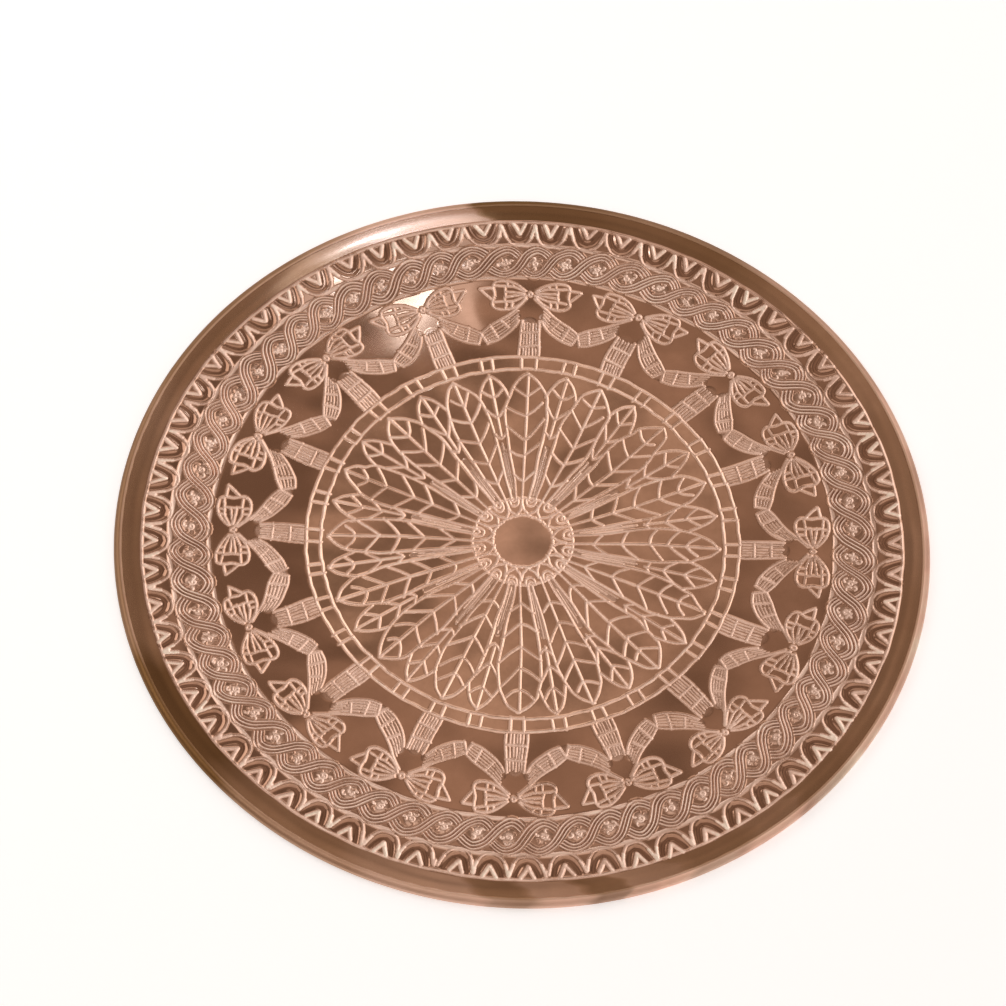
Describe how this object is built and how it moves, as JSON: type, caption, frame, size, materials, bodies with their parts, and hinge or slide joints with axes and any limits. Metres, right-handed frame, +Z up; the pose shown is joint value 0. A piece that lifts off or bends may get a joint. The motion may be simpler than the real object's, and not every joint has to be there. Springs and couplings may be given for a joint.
{
  "type": "copper serving tray",
  "caption": "Flat round copper tray chased with leaves, bows, festoons and twisted borders, its edge rolled under round a wire.",
  "frame": {"origin": "middle of the tray, at table height, under the rolled edge", "axes": "+Z up out of the chased face, along the tray's axis of symmetry; +X through a knot of the bow band"},
  "size_m": [0.42, 0.42, 0.0051],
  "materials": {
    "copper": "polished copper with a little brown tarnish, chased lines burnished bright",
    "iron_wire": "plain drawn iron wire"
  },
  "bodies": {
    "root": {"tray_sheet": "copper", "rim_wire": "iron_wire"}
  },
  "joints": []
}
